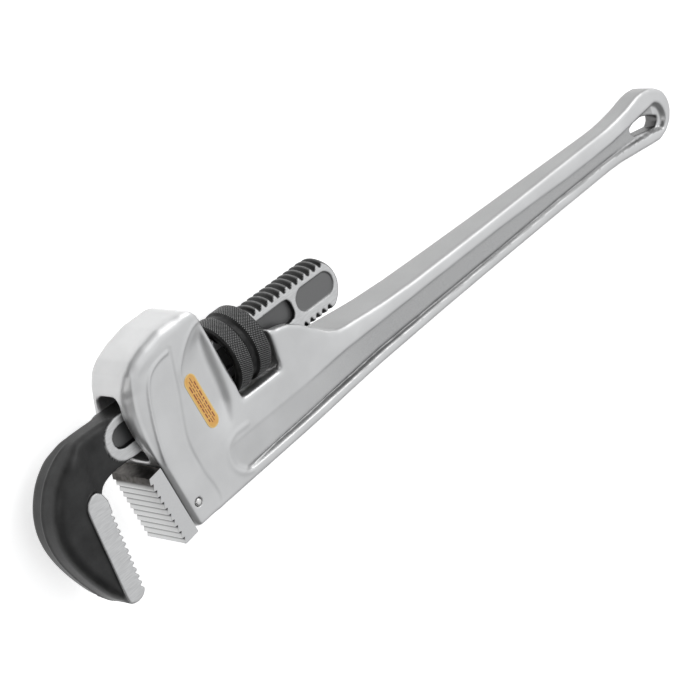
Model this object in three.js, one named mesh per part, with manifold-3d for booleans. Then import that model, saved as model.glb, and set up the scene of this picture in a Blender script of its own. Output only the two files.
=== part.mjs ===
// Straight pipe wrench, millimetres, +Z up.
// The wrench lies on its side: +X runs from the jaws to the handle's end,
// +Y points to the adjusting nut's open side, and +Z is across the thickness.
// Shapes are drawn in a drafting frame whose X starts at the heel jaw's tooth
// face and whose Y starts on the handle's centre line; the top group then moves
// everything so that the origin is under the middle of the object.
import * as THREE from 'three';
import { mergeVertices } from 'three/addons/utils/BufferGeometryUtils.js';
import Module from 'manifold-3d';

const wasm = await Module();
wasm.setup();

// ---------------------------------------------------------------- dimensions
const AXIS_Y = 42.0;          // height of the hook jaw shank's axis over the handle's centre line
const THREAD_PITCH = 4.85;
const THREAD_R_MAJOR = 15.5;
const THREAD_R_MINOR = 13.3;
const THREAD_X0 = 47.0;       // threaded length of the shank, jaw as stored
const THREAD_X1 = 160.0;
const THREAD_CREST_X = 103.7; // one crest of the thread on the shank's upper edge
const SHANK_HALF_T = 8.1;     // half the thickness of the flat-sided shank
const SHANK_END_X = 170.2;
const DOME_X = 152.7, DOME_R = 17.5; // the shank's end is part of a ball
const NECK_HALF_H = 12.0;     // half height of the shank where it has no thread
const THREAD_CLEARANCE = 0.5; // radial play between nut and shank
const NUT_X0 = 75.5;
const NUT_LENGTH = 24.7;
const NUT_R = 21.1;
const NUT_GROOVE_R = 19.4;
const HEAD_HALF_T = 17.0;     // half thickness of the housing
const END_HALF_T = 8.5;       // half thickness at the handle's end
const TAPER_X0 = 110.0;       // the thickness tapers evenly between these two
const TAPER_X1 = 400.0;
const RECESS_DEPTH = 3.6;
const SLOT_HALF_W = 8.9;      // slot that the shank slides and rocks in
const HEEL_HALF_W = 15.5;
const HEEL_TILT = 0.15;       // radians between the heel jaw's face and a square cut
const HEEL_TOP_Y = 16.6;
const HEEL_LENGTH = 43.8;
const HEEL_DEPTH = 10.4;
const HEEL_PITCH = 4.01;
const HOOK_HALF_T = 14.0;
const HOOK_FACE_X = -25.4;
const HOOK_PITCH = 3.9;
const TOOTH_DEPTH = 1.9;
const PIN_X = 23.2, PIN_Y = -10.9, PIN_R = 2.1;
const COIL_X = 38.0;
const X_MIN = -58.9, X_MAX = 466.6; // ends of the object, jaw as stored
const Y_MIN = -36.6, Y_MAX = 83.4;
// Every length above is in drafting units. This makes them real millimetres, so
// that the tool is 610 mm long with its jaws opened for 3 in pipe (88.9 mm).
const FULL_SIZE = 1.042;

// ------------------------------------------------------------------- helpers
function shape(points) {
  return new THREE.Shape(points.map(([x, y]) => new THREE.Vector2(x, y)));
}
// A plate in the XY plane between two heights.
function plate(points, z0, z1, steps = 1) {
  const g = new THREE.ExtrudeGeometry(shape(points), { depth: z1 - z0, bevelEnabled: false, steps });
  g.translate(0, 0, z0);
  return g;
}
// A plate with bevelled edges that stays inside its outline.
function bevelPlate(points, halfT, bevel, segments = 2) {
  const g = new THREE.ExtrudeGeometry(shape(points), {
    depth: 2 * (halfT - bevel), bevelEnabled: true, bevelThickness: bevel,
    bevelSize: bevel, bevelOffset: -bevel, bevelSegments: segments,
  });
  g.translate(0, 0, -(halfT - bevel));
  return g;
}
function warp(g, fn) {
  const p = g.attributes.position;
  const v = new THREE.Vector3();
  for (let i = 0; i < p.count; i++) {
    v.fromBufferAttribute(p, i);
    fn(v);
    p.setXYZ(i, v.x, v.y, v.z);
  }
  return g;
}
function solid(geometry) {
  let g = geometry.clone();
  g.deleteAttribute('normal');
  g.deleteAttribute('uv');
  g = mergeVertices(g, 1e-4);
  const idx = Array.from(g.index.array);
  const tris = [];
  for (let i = 0; i < idx.length; i += 3) {
    const [a, b, c] = [idx[i], idx[i + 1], idx[i + 2]];
    if (a !== b && b !== c && c !== a) tris.push(a, b, c);
  }
  return new wasm.Manifold(new wasm.Mesh({
    numProp: 3,
    vertProperties: Float32Array.from(g.attributes.position.array),
    triVerts: Uint32Array.from(tris),
  }));
}
function geometryOf(manifold) {
  const m = manifold.getMesh();
  const g = new THREE.BufferGeometry();
  g.setAttribute('position', new THREE.BufferAttribute(Float32Array.from(m.vertProperties), 3));
  g.setIndex(new THREE.BufferAttribute(Uint32Array.from(m.triVerts), 1));
  return g;
}
// A round bar along Z or Y.
function barZ(x, y, r, z0, z1, n = 24) {
  const g = new THREE.CylinderGeometry(r, r, z1 - z0, n);
  g.rotateX(Math.PI / 2);
  g.translate(x, y, (z0 + z1) / 2);
  return g;
}
function barY(x, z, r, y0, y1, n = 24) {
  const g = new THREE.CylinderGeometry(r, r, y1 - y0, n);
  g.translate(x, (y0 + y1) / 2, z);
  return g;
}
function barX(y, z, r, x0, x1, n = 48) {
  const g = new THREE.CylinderGeometry(r, r, x1 - x0, n);
  g.rotateZ(Math.PI / 2);
  g.translate((x0 + x1) / 2, y, z);
  return g;
}
function halfThickness(x) {
  const t = THREE.MathUtils.clamp((x - TAPER_X0) / (TAPER_X1 - TAPER_X0), 0, 1);
  return THREE.MathUtils.lerp(HEAD_HALF_T, END_HALF_T, t);
}
// A plate whose two faces follow the handle's taper, sunk by an amount.
function taperedPlate(points, sink) {
  return warp(plate(points, -1, 1), (v) => { v.z *= halfThickness(v.x) - sink; });
}

const materials = {
  aluminium: new THREE.MeshStandardMaterial({ color: 0xb9bcbf, metalness: 0.85, roughness: 0.42 }),
  forging: new THREE.MeshStandardMaterial({ color: 0x262627, metalness: 0.6, roughness: 0.5 }),
  jawSteel: new THREE.MeshStandardMaterial({ color: 0xc4c5c4, metalness: 0.95, roughness: 0.35 }),
  nut: new THREE.MeshStandardMaterial({ color: 0x3b3c3d, metalness: 0.8, roughness: 0.45 }),
  pin: new THREE.MeshStandardMaterial({ color: 0xd0d0cf, metalness: 1.0, roughness: 0.2 }),
  spring: new THREE.MeshStandardMaterial({ color: 0x6d6f72, metalness: 0.9, roughness: 0.35 }),
  label: new THREE.MeshStandardMaterial({ color: 0xf0a43a, metalness: 0.0, roughness: 0.45 }),
};

const wrench = new THREE.Group();
wrench.scale.setScalar(FULL_SIZE);
wrench.position.set(-(X_MIN + X_MAX) / 2, -(Y_MIN + Y_MAX) / 2, NUT_R).multiplyScalar(FULL_SIZE);
function addPart(name, geometry, material) {
  const mesh = new THREE.Mesh(geometry, material);
  mesh.name = name;
  wrench.add(mesh);
  return mesh;
}

// -------------------------------------------------------------------- handle
// Cast housing: lower front corner, front edge, slot lip, nose, window's front wall.
const housing = [
  [17.6, -23.5], [60, -21.0], [110.2, -18.1],
  [110.2, 42.3], [107.5, 44.5], [101.0, 47.0], [101, 60], [70, 60],
  [70.5, 68], [70.0, 72.0], [68.0, 76.5], [63.0, 80.8], [57.0, 82.8], [49.0, 83.4], [40.0, 83.2],
  [27.0, 80.2], [18.0, 76.6], [11.5, 71.5], [7.2, 65.0], [5.0, 59.0],
  [4.0, 50.0], [5.5, 38.0], [9.6, 22.0], [10.6, 18.8],
];
// Beam from the housing to the start of the end flare.
const beam = [
  [96.0, -18.9], [109.8, -18.12], [172, -14.9], [230, -13.4], [288, -12.5], [345, -11.9], [400.2, -11.7],
  [400.2, 13.0], [345, 13.2], [288, 13.3], [250, 13.5], [215, 13.9], [190, 15.0],
  [175, 16.3], [165, 17.3], [157.5, 17.9], [151.0, 19.0], [144.6, 21.8], [136.4, 28.6], [128.0, 35.8],
  [119.6, 40.6], [113.0, 42.4], [109.8, 42.8], [107.5, 44.2], [102.5, 46.4], [96.0, 20.0],
];
// Flared end with the hang hole.
const flare = [
  [399.8, -11.7], [411, -12.1], [421, -13.2], [431, -14.2], [441, -15.3], [449.5, -15.9],
  [457, -13.4], [463.0, -8.6], [466.0, -2.4], [466.6, 2.0], [466.0, 6.2], [463.6, 11.2],
  [458.5, 15.2], [452.0, 17.8], [446.0, 18.5], [440, 18.0], [428, 15.4], [417, 13.9], [408, 13.1], [399.8, 13.0],
];
// The recess in each side, in two lengths: along the beam, and flat at the end.
const recessBeam = [
  [54.0, 0.5], [55.6, -6.5], [60.5, -11.6], [68.0, -13.0], [110, -11.4], [172, -9.3], [230, -8.2],
  [288, -7.6], [345, -7.4], [400, -7.6], [400, 8.6], [345, 9.0], [288, 9.2],
  [230, 9.4], [172, 9.2], [110, 7.6], [68, 6.6], [58.0, 5.8],
];
const recessEnd = [
  [399.9, -7.6], [420, -8.2], [440, -9.4], [450, -9.6], [457.0, -5.8], [459.6, 0.8],
  [457.6, 7.6], [450.5, 12.0], [444, 12.2], [428, 9.8], [399.9, 8.6],
];
const hangHole = [
  [427.0, -2.6], [430.5, -4.9], [446.0, -6.6], [451.0, -5.2], [453.6, -1.0],
  [453.4, 3.4], [450.2, 6.4], [446.0, 6.8], [430.5, 3.8], [427.2, 1.4],
];
// Through window for the nut, open at the top.
const nutWindow = [
  [74.2, 22.0], [103.6, 22.0], [104.6, 34.0], [104.6, 41.0], [101.0, 47.2], [101, 90],
  [64.0, 90], [66.6, 74.0], [73.7, 30.0],
];
const slot = [
  [-2, 19.6], [75, 23.4], [75, 58.4], [20, 58.6], [9, 60.4], [-2, 63.0],
];
const tonguePocket = [[5, -30], [29.3, -30], [29.3, 12.3], [5, 12.3]];

const centroid = (pts) => pts.reduce(([a, b], [x, y]) => [a + x / pts.length, b + y / pts.length], [0, 0]);
function grow(points, s) {
  const [cx, cy] = centroid(points);
  return points.map(([x, y]) => [x + Math.sign(x - cx) * s, y + Math.sign(y - cy) * s]);
}

let body = solid(bevelPlate(housing, HEAD_HALF_T, 2.2, 2));
body = body.add(solid(taperedPlate(beam, 0)));
body = body.add(solid(taperedPlate(flare, 0)));
body = body.subtract(solid(plate(recessBeam, -40, 40)));
body = body.subtract(solid(plate(recessEnd, -40, 40)));
body = body.add(solid(taperedPlate(grow(recessBeam, 0.5), RECESS_DEPTH)));
body = body.add(solid(plate(grow(recessEnd, 0.5), -(END_HALF_T - RECESS_DEPTH), END_HALF_T - RECESS_DEPTH)));
body = body.subtract(solid(plate(hangHole, -40, 40)));
body = body.subtract(solid(plate(nutWindow, -40, 40)));
body = body.subtract(solid(barX(AXIS_Y, 0, NUT_R + 1.3, 73.2, 104.6)));
body = body.subtract(solid(plate(slot, -SLOT_HALF_W, SLOT_HALF_W)));
body = body.subtract(solid(plate([[100, 25.2], [240, 25.2], [240, 70], [100, 70]], -SLOT_HALF_W, SLOT_HALF_W)));
body = body.subtract(solid(plate(tonguePocket, -6.3, 6.3)));
body = body.subtract(solid(barZ(PIN_X, PIN_Y, PIN_R + 0.3, -40, 40)));
body = body.subtract(solid(barY(COIL_X, 0, 7.0, 5.0, 40)));
addPart('handle', geometryOf(body), materials.aluminium);

// ------------------------------------------------------------------ heel jaw
// Drawn upright, then turned by its tilt about the top of its tooth face.
function tilt([x, y]) {
  const c = Math.cos(HEEL_TILT), s = Math.sin(HEEL_TILT);
  return [c * x - s * y, HEEL_TOP_Y + s * x + c * y];
}
const heelOutline = [[HEEL_DEPTH - 0.5, 0], [1.2, 0], [0.2, -2.6]];
for (let i = 0; i < 10; i++) {
  const y = -3.4 - HEEL_PITCH * i;
  heelOutline.push([0, y], [TOOTH_DEPTH, y - 0.5], [0.0, y - HEEL_PITCH + 0.5]);
}
const heelPts = heelOutline.filter(([, y]) => y > -HEEL_LENGTH + 0.3);
heelPts.push([0.4, -HEEL_LENGTH + 0.2], [2.2, -HEEL_LENGTH], [HEEL_DEPTH - 0.5, -HEEL_LENGTH]);
let heel = solid(plate(heelPts.map(tilt).reverse(), -HEEL_HALF_W, HEEL_HALF_W));
// Its back runs along the housing's front edge.
const frontEdge = [[10.2 - 0.3, 18.8], [17.3 - 0.3, -23.9], [17.9 - 0.3, -29], [60, -29], [60, 30], [10.2 - 0.3, 30]];
heel = heel.subtract(solid(plate(frontEdge, -30, 30)));
heel = heel.add(solid(plate([[6, -21.5], [29.0, -21.5], [29.0, 12.0], [6, 12.0]], -6.0, 6.0)));
heel = heel.subtract(solid(barZ(PIN_X, PIN_Y, PIN_R + 0.3, -40, 40)));
addPart('heel_jaw', geometryOf(heel), materials.jawSteel);

const pin = solid(barZ(PIN_X, PIN_Y, PIN_R, -HEAD_HALF_T - 0.15, HEAD_HALF_T + 0.15));
addPart('heel_jaw_pin', geometryOf(pin), materials.pin);

// ------------------------------------------------------------------ hook jaw
// The shank: a flat slab whose two long edges are strips of one right-hand thread.
function toothRow(crest0, xa, xb) {
  const row = [];
  const k0 = Math.ceil((xa - crest0) / THREAD_PITCH), k1 = Math.floor((xb - crest0) / THREAD_PITCH);
  for (let k = k0; k <= k1; k++) {
    const c = crest0 + k * THREAD_PITCH, p = THREAD_PITCH;
    row.push([c - 0.39 * p, THREAD_R_MINOR], [c - 0.11 * p, THREAD_R_MAJOR],
      [c + 0.11 * p, THREAD_R_MAJOR], [c + 0.39 * p, THREAD_R_MINOR]);
  }
  return row;
}
const upperRow = toothRow(THREAD_CREST_X, THREAD_X0, THREAD_X1);
const lowerRow = toothRow(THREAD_CREST_X + THREAD_PITCH / 2, THREAD_X0, THREAD_X1 - 2);
const shank = [
  [-14, -NECK_HALF_H], [THREAD_X0 - 6, -NECK_HALF_H], [THREAD_X0 - 3, -THREAD_R_MINOR + 0.1],
  ...lowerRow.map(([x, r]) => [x, -r]),
  [163.3, -13.9], [166.3, -11.0], [168.9, -6.6], [SHANK_END_X, 0], [168.9, 6.6], [166.3, 11.0], [163.3, 13.9],
  ...upperRow.reverse(),
  [THREAD_X0 - 3, THREAD_R_MINOR - 0.1], [THREAD_X0 - 6, NECK_HALF_H], [-14, NECK_HALF_H],
];
const shankGeometry = warp(plate(shank, -SHANK_HALF_T, SHANK_HALF_T, 6), (v) => {
  const r = Math.abs(v.y), side = Math.sign(v.y);
  if (v.x > 162 && r > NECK_HALF_H) {
    v.y = side * Math.sqrt(r * r - v.z * v.z);
  } else if (v.x > 162) {
    v.x -= Math.sqrt(DOME_R ** 2 - r * r) - Math.sqrt(Math.max(DOME_R ** 2 - r * r - v.z * v.z, 0));
  } else if (r >= NECK_HALF_H) {
    const y = Math.sqrt(r * r - v.z * v.z);
    if (v.x > THREAD_X0 - 2) v.x += side * THREAD_PITCH * Math.asin(v.z / r) / (2 * Math.PI);
    v.y = side * y;
  } else {
    v.y *= Math.sqrt(NECK_HALF_H * NECK_HALF_H - v.z * v.z) / NECK_HALF_H;
  }
  v.y += AXIS_Y;
});
// The hook: outer curve, tip, tooth face, throat.
const hookOutline = [
  [41, 52.6], [2, 53.0], [-9.5, 53.9], [-22.3, 53.9], [-30.0, 52.6], [-39.1, 48.6], [-48.3, 41.4], [-55.3, 30.7],
  [-58.5, 20.5], [-58.9, 11.0], [-57.1, 1.0], [-53.0, -10.3], [-47.6, -21.2], [-43.5, -28.0],
  [-39.4, -32.9], [-35.6, -35.8], [-31.5, -36.6], [-27.6, -35.4],
];
for (let i = 11; i >= 0; i--) {
  const y = 13.6 - HOOK_PITCH * i;
  hookOutline.push([HOOK_FACE_X, y - HOOK_PITCH + 0.5], [HOOK_FACE_X - TOOTH_DEPTH, y - 0.4], [HOOK_FACE_X, y]);
}
hookOutline.push([-25.2, 18.0], [-24.0, 21.6], [-20.6, 25.2], [-15.5, 27.3], [-9.0, 28.2], [2, 28.4], [41, 29.4]);
let hook = solid(bevelPlate(hookOutline.slice().reverse().filter((p, i, a) => true), HOOK_HALF_T, 0.01, 1));
// The neck narrows towards the shank so that it can enter the housing's slot.
for (const s of [1, -1]) {
  const wedge = [[-38, 15], [-22.5, 8.35], [50, 8.35], [50, 20], [-38, 20]];
  const g = new THREE.ExtrudeGeometry(shape(wedge.map(([x, z]) => [x, z])), { depth: 48, bevelEnabled: false });
  g.rotateX(Math.PI / 2);            // (x, z) outline, depth now runs along -Y
  g.translate(0, 68, 0);
  if (s < 0) g.rotateX(Math.PI).translate(0, 20 + 68, 0);
  hook = hook.subtract(solid(g));
}
// Round the outer rim with a chamfer cut from both sides.
let jaw = hook.add(solid(shankGeometry));
addPart('hook_jaw', geometryOf(jaw), materials.forging);

// ------------------------------------------------------------- adjusting nut
const nutProfile = [];
const inner = THREAD_R_MINOR + THREAD_CLEARANCE;
const N_INNER = 40;
for (let i = 0; i <= N_INNER; i++) nutProfile.push([inner, NUT_X0 + NUT_LENGTH * i / N_INNER]);
for (const [r, x] of [[17.2, 24.7], [NUT_R - 0.9, 24.7], [NUT_R, 23.6], [NUT_R, 15.6], [NUT_R - 0.7, 14.7],
  [NUT_GROOVE_R, 14.2], [NUT_GROOVE_R, 10.9], [NUT_R - 0.7, 10.4], [NUT_R, 9.5], [NUT_R, 1.1],
  [NUT_R - 0.9, 0], [17.2, 0]]) nutProfile.push([r, NUT_X0 + x]);
nutProfile.push([inner, NUT_X0]);
const nutGeometry = new THREE.LatheGeometry(nutProfile.map(([r, x]) => new THREE.Vector2(r, x)), 28);
warp(nutGeometry, (v) => {
  const x = v.y, y = v.x, z = v.z;      // the lathe's axis becomes +X
  let r = Math.hypot(y, z);
  const a = Math.atan2(z, y);
  if (r < 16) {
    const phase = (x - THREAD_CREST_X) / THREAD_PITCH - a / (2 * Math.PI);
    const w = THREE.MathUtils.clamp(1.25 * Math.cos(2 * Math.PI * phase), -1, 1);
    r = (THREAD_R_MAJOR + THREAD_R_MINOR) / 2 + w * (THREAD_R_MAJOR - THREAD_R_MINOR) / 2 + THREAD_CLEARANCE;
  }
  v.set(x, AXIS_Y + r * Math.cos(a), r * Math.sin(a));
});
// Mapping the lathe's axis onto +X mirrors it, so its faces are turned round.
function flip(g) {
  const i = g.index.array;
  for (let k = 0; k < i.length; k += 3) [i[k + 1], i[k + 2]] = [i[k + 2], i[k + 1]];
  return g;
}
let nut = solid(nutGeometry);
if (nut.volume() <= 0) nut = solid(flip(nutGeometry));
addPart('adjusting_nut', geometryOf(nut), materials.nut);

// ------------------------------------------------------------------- springs
const leaf = [
  [13, 24.2], [16, 24.75], [40, 25.0], [60, 24.95], [66, 24.6],
  [66, 25.5], [60, 25.95], [40, 26.0], [16, 25.75], [13, 25.2],
];
addPart('flat_spring', geometryOf(solid(plate(leaf, -6.5, 6.5))), materials.spring);

class Helix extends THREE.Curve {
  constructor(r, y0, y1, turns) { super(); Object.assign(this, { r, y0, y1, turns }); }
  getPoint(t, target = new THREE.Vector3()) {
    const a = 2 * Math.PI * this.turns * t;
    return target.set(COIL_X + this.r * Math.cos(a), this.y0 + (this.y1 - this.y0) * t, this.r * Math.sin(a));
  }
}
const wire = new THREE.Shape();
wire.absarc(0, 0, 0.85, 0, 2 * Math.PI, false);
const coil = new THREE.ExtrudeGeometry(wire, {
  extrudePath: new Helix(4.5, 8.4, 23.7, 5), steps: 60, curveSegments: 4, bevelEnabled: false,
});
let coilSolid = solid(coil);
if (coilSolid.volume() <= 0) {
  const g = coil.toNonIndexed ? coil.clone() : coil;
  const merged = mergeVertices((() => { g.deleteAttribute('normal'); g.deleteAttribute('uv'); return g; })(), 1e-4);
  coilSolid = solid(flip(merged));
}
addPart('coil_spring', geometryOf(coilSolid), materials.spring);

// --------------------------------------------------------------------- label
const LABEL = { x: 48.6, y: 35.4, half: 17.2, r: 4.6, turn: Math.PI / 2 + 0.17 };
const labelPts = [];
for (let i = 0; i <= 10; i++) {
  const a = -Math.PI / 2 + Math.PI * i / 10;
  labelPts.push([LABEL.half + LABEL.r * Math.cos(a), LABEL.r * Math.sin(a)]);
}
for (let i = 0; i <= 10; i++) {
  const a = Math.PI / 2 + Math.PI * i / 10;
  labelPts.push([-LABEL.half + LABEL.r * Math.cos(a), LABEL.r * Math.sin(a)]);
}
const placed = labelPts.map(([u, w]) => [
  LABEL.x + u * Math.cos(LABEL.turn) - w * Math.sin(LABEL.turn),
  LABEL.y + u * Math.sin(LABEL.turn) + w * Math.cos(LABEL.turn)]);
addPart('label', geometryOf(solid(plate(placed, HEAD_HALF_T + 0.1, HEAD_HALF_T + 0.3))), materials.label);

export default wrench;
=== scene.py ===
import math
import bpy
import numpy as np
from mathutils import Matrix, Vector

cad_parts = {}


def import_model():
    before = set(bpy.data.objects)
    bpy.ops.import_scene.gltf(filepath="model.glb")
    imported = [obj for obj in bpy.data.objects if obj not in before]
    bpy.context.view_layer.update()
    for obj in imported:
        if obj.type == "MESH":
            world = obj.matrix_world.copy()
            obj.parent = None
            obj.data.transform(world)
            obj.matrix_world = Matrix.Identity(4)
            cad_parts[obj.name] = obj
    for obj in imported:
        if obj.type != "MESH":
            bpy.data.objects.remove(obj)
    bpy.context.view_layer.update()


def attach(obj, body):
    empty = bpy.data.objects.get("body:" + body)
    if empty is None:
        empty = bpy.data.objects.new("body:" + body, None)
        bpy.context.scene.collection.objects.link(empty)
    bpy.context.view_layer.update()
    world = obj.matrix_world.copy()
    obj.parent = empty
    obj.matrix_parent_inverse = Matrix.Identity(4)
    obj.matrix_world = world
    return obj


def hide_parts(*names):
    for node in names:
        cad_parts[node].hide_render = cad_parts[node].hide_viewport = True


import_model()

# Shapes below are drawn in drafting millimetres: x from the heel jaw's tooth
# face towards the handle's end, y from the handle's centre line, z from the
# middle of the thickness. world() turns them into the row frame, in metres.
K = 1.042
MID = np.array([203.85, 23.4, -21.1])


def world(p):
    return (np.asarray(p, float) - MID) * K / 1000.0


def vec(p):
    return Vector(world(p).tolist())


AXIS_Y = 42.0
PITCH = 4.85
R_MAJ, R_MIN = 15.5, 13.3
CREST_X = 103.7
HEAD_T, END_T = 17.0, 8.5


# ------------------------------------------------------------ 2D helpers
def poly_sdf(px, py, pts):
    """Signed distance to a closed polygon, negative inside."""
    pts = np.asarray(pts, float)
    d2 = np.full(px.shape, 1e18)
    s = np.ones(px.shape)
    n = len(pts)
    for i in range(n):
        ax, ay = pts[i]
        bx, by = pts[(i + 1) % n]
        ex, ey = bx - ax, by - ay
        wx, wy = px - ax, py - ay
        t = np.clip((wx * ex + wy * ey) / (ex * ex + ey * ey + 1e-12), 0, 1)
        d2 = np.minimum(d2, (wx - t * ex) ** 2 + (wy - t * ey) ** 2)
        c1, c2, c3 = py >= ay, py < by, ex * wy > ey * wx
        flip = (c1 & c2 & c3) | (~c1 & ~c2 & ~c3)
        s = np.where(flip, -s, s)
    return s * np.sqrt(d2)


def line_dist(px, py, pts):
    """Unsigned distance to an open polyline."""
    pts = np.asarray(pts, float)
    d2 = np.full(px.shape, 1e18)
    for (ax, ay), (bx, by) in zip(pts[:-1], pts[1:]):
        ex, ey = bx - ax, by - ay
        wx, wy = px - ax, py - ay
        t = np.clip((wx * ex + wy * ey) / (ex * ex + ey * ey + 1e-12), 0, 1)
        d2 = np.minimum(d2, (wx - t * ex) ** 2 + (wy - t * ey) ** 2)
    return np.sqrt(d2)


def sstep(a, b, x):
    t = np.clip((x - a) / (b - a), 0, 1)
    return t * t * (3 - 2 * t)


def smooth_line(pts, n=12):
    """Catmull-Rom through open points."""
    p = np.asarray(pts, float)
    q = np.vstack([2 * p[0] - p[1], p, 2 * p[-1] - p[-2]])
    out = []
    for i in range(1, len(q) - 2):
        for t in np.linspace(0, 1, n, endpoint=False):
            a, b, c, d = q[i - 1], q[i], q[i + 1], q[i + 2]
            out.append(0.5 * (2 * b + (c - a) * t + (2 * a - 5 * b + 4 * c - d) * t * t
                              + (3 * b - a - 3 * c + d) * t ** 3))
    out.append(q[-2])
    return np.array(out)


class Raster:
    """Fields of x and y kept on a fine grid and read back smoothly."""

    def __init__(self, x0, x1, y0, y1, h):
        self.x0, self.y0, self.h = x0, y0, h
        self.nx, self.ny = int((x1 - x0) / h) + 1, int((y1 - y0) / h) + 1
        xs = x0 + h * np.arange(self.nx)
        ys = y0 + h * np.arange(self.ny)
        self.X, self.Y = np.meshgrid(xs, ys, indexing="ij")
        self._g = {}

    def blur(self, a, sigma):
        def band(n):
            key = (n, sigma)
            if key not in self._g:
                i = np.arange(n) * self.h
                g = np.exp(-0.5 * ((i[:, None] - i[None]) / sigma) ** 2)
                self._g[key] = g / g.sum(1, keepdims=True)
            return self._g[key]
        return band(self.nx) @ a @ band(self.ny).T

    def read(self, a, x, y):
        u = np.clip((x - self.x0) / self.h, 0, self.nx - 1.001)
        v = np.clip((y - self.y0) / self.h, 0, self.ny - 1.001)
        i, j = u.astype(int), v.astype(int)
        fu, fv = u - i, v - j
        return ((a[i, j] * (1 - fu) + a[i + 1, j] * fu) * (1 - fv)
                + (a[i, j + 1] * (1 - fu) + a[i + 1, j + 1] * fu) * fv)


# ------------------------------------------------------------ 3D helpers
def smax(a, b, k):
    h = np.maximum(k - np.abs(a - b), 0) / k
    return np.maximum(a, b) + h * h * k * 0.25


def smin(a, b, k):
    return -smax(-a, -b, k)


def rmax(a, b, r):
    """Intersection with a rounded edge of radius r."""
    u, v = a + r, b + r
    return np.minimum(np.maximum(u, v), 0) + np.hypot(np.maximum(u, 0), np.maximum(v, 0)) - r


def axis(*spans):
    """Grid lines from (start, stop, step) spans that follow each other."""
    out = []
    for a, b, s in spans:
        n = max(1, int(round((b - a) / s)))
        out.extend(np.linspace(a, b, n, endpoint=False))
    out.append(spans[-1][1])
    return np.array(out)


def surface_net(field, xs, ys, zs, newton=4, reach=0.55):
    """Quads on the zero level of field(x, y, z), pulled onto it exactly."""
    nx, ny, nz = len(xs), len(ys), len(zs)
    F = np.empty((nx, ny, nz), np.float32)
    step = max(1, int(400000 // (ny * nz)))
    for i in range(0, nx, step):
        X, Y, Z = np.meshgrid(xs[i:i + step], ys, zs, indexing="ij")
        F[i:i + step] = field(X.ravel(), Y.ravel(), Z.ravel()).reshape(X.shape)
    F[F == 0] = 1e-6
    S = (F < 0)
    cnt = np.zeros((nx - 1, ny - 1, nz - 1), np.uint8)
    for a in (0, 1):
        for b in (0, 1):
            for c in (0, 1):
                cnt += S[a:nx - 1 + a, b:ny - 1 + b, c:nz - 1 + c]
    act = (cnt > 0) & (cnt < 8)
    idx = np.full(act.shape, -1, np.int64)
    I, J, L = np.nonzero(act)
    idx[I, J, L] = np.arange(len(I))
    P = np.zeros((len(I), 3))
    N = np.zeros(len(I))
    G = [xs, ys, zs]
    for ax in range(3):
        o1, o2 = [k for k in range(3) if k != ax]
        for u in (0, 1):
            for v in (0, 1):
                off = [0, 0, 0]
                off[o1], off[o2] = u, v
                c0 = [I + off[0], J + off[1], L + off[2]]
                c1 = [c.copy() for c in c0]
                c1[ax] = c1[ax] + 1
                f0, f1 = F[c0[0], c0[1], c0[2]], F[c1[0], c1[1], c1[2]]
                m = (f0 < 0) != (f1 < 0)
                t = np.where(m, f0 / np.where(m, f0 - f1, 1), 0)
                for k in range(3):
                    p = G[k][c0[k]].astype(float)
                    if k == ax:
                        p = p + t * (G[k][c1[k]] - G[k][c0[k]])
                    P[:, k] += np.where(m, p, 0)
                N += m
    P /= N[:, None]
    lo = np.stack([xs[I], ys[J], zs[L]], 1)
    hi = np.stack([xs[I + 1], ys[J + 1], zs[L + 1]], 1)
    mid, half = (lo + hi) / 2, (hi - lo) / 2
    e = 0.04
    for _ in range(newton):
        f = field(P[:, 0], P[:, 1], P[:, 2])
        g = np.empty_like(P)
        for k in range(3):
            A, B = P.copy(), P.copy()
            A[:, k] += e
            B[:, k] -= e
            g[:, k] = (field(A[:, 0], A[:, 1], A[:, 2]) - field(B[:, 0], B[:, 1], B[:, 2])) / (2 * e)
        gg = np.maximum((g * g).sum(1), 0.05)
        P = P - (f / gg)[:, None] * g * 0.9
        P = np.clip(P, mid - half * (1 + reach), mid + half * (1 + reach))
    quads = []
    sx, sy, sz = S[:, 1:-1, 1:-1], S[1:-1, :, 1:-1], S[1:-1, 1:-1, :]
    m = sx[:-1] != sx[1:]
    i, j, k = np.nonzero(m)
    j, k = j + 1, k + 1
    q = np.stack([idx[i, j - 1, k - 1], idx[i, j, k - 1], idx[i, j, k], idx[i, j - 1, k]], 1)
    ins = S[i, j, k]
    quads.append(np.where(ins[:, None], q, q[:, ::-1]))
    m = sy[:, :-1] != sy[:, 1:]
    i, j, k = np.nonzero(m)
    i, k = i + 1, k + 1
    q = np.stack([idx[i - 1, j, k - 1], idx[i - 1, j, k], idx[i, j, k], idx[i, j, k - 1]], 1)
    ins = S[i, j, k]
    quads.append(np.where(ins[:, None], q, q[:, ::-1]))
    m = sz[:, :, :-1] != sz[:, :, 1:]
    i, j, k = np.nonzero(m)
    i, j = i + 1, j + 1
    q = np.stack([idx[i - 1, j - 1, k], idx[i, j - 1, k], idx[i, j, k], idx[i - 1, j, k]], 1)
    ins = S[i, j, k]
    quads.append(np.where(ins[:, None], q, q[:, ::-1]))
    return P, np.vstack(quads)


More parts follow.
